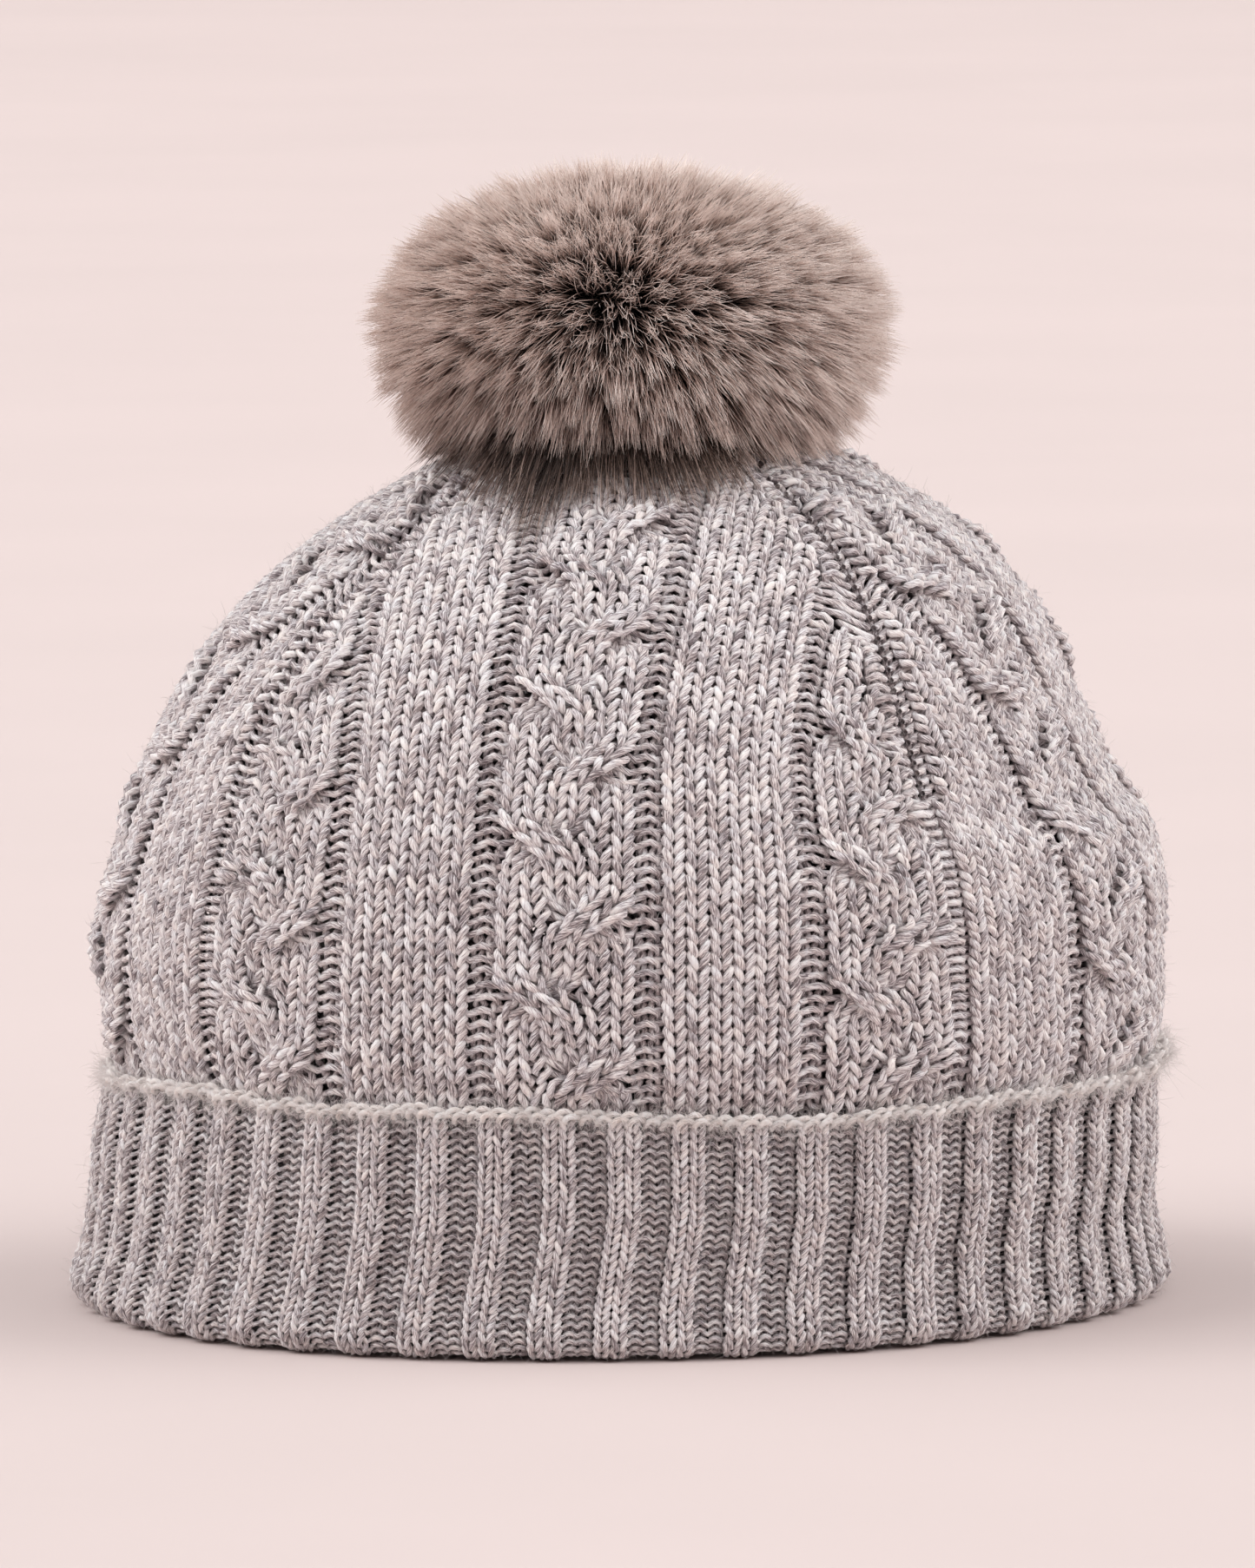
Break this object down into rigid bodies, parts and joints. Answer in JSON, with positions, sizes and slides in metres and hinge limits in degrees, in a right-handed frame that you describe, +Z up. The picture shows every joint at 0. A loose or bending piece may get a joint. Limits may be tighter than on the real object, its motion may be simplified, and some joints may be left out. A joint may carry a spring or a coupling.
{
  "type": "knitted pompom beanie",
  "caption": "Cable-knit wool beanie with a turned-up rib cuff and a detachable fur pompom on a press stud.",
  "frame": {"origin": "centre of the rim, at the fold of the cuff", "axes": "+Z up through the apex of the crown, -Y towards the middle of the front gore"},
  "size_m": [0.1872, 0.1872, 0.192],
  "materials": {
    "wool_body": "matte",
    "wool_rib": "matte",
    "wool_thread": "matte",
    "sewing_thread": "satin",
    "label_tape": "satin",
    "felt": "matte",
    "snap_metal": "satin",
    "spring_wire": "satin",
    "hide_leather": "matte",
    "fibre_fill": "matte",
    "fur": "matte"
  },
  "bodies": {
    "hat": {"body_wall": "wool_body", "crown_gore_front": "wool_body", "crown_gore_right": "wool_body", "crown_gore_back": "wool_body", "crown_gore_left": "wool_body", "rib_band": "wool_rib", "cuff_turn_up": "wool_rib", "bind_off_edge": "wool_rib", "side_seam": "wool_thread", "dart_seams": "wool_thread", "gather_yarn": "wool_thread", "label_stitches": "sewing_thread", "felt_washer": "felt", "snap_cap": "snap_metal", "snap_stud": "snap_metal"},
    "label": {"care_label": "label_tape"},
    "spring": {"ring_spring": "spring_wire"},
    "pompom_base": {"snap_socket": "snap_metal", "socket_stitches": "sewing_thread", "base_disc": "hide_leather"},
    "pompom": {"pompom_pelt": "hide_leather", "draw_thread": "sewing_thread", "stuffing": "fibre_fill", "fur_coat": "fur"}
  },
  "joints": [
    {"name": "label_swing", "type": "hinge", "parent": "hat", "child": "label", "pos_m": [-0.05926, 0.05926, 0.064], "axis": [-0.7071, -0.7071, 0], "range_deg": [0, 75]},
    {"name": "pompom_pull_off", "type": "slide", "parent": "hat", "child": "spring", "axis": [0, 0, 1], "range_m": [0, 0.02]},
    {"name": "pompom_swivel", "type": "hinge", "parent": "spring", "child": "pompom_base", "pos_m": [0, 0, 0.1516], "axis": [0, 0, 1], "continuous": true},
    {"name": "pompom_tilt", "type": "hinge", "parent": "pompom_base", "child": "pompom", "pos_m": [0, 0, 0.1538], "axis": [1, 0, 0], "range_deg": [-10, 10], "stiffness_Nm_per_rad": 0.03}
  ]
}
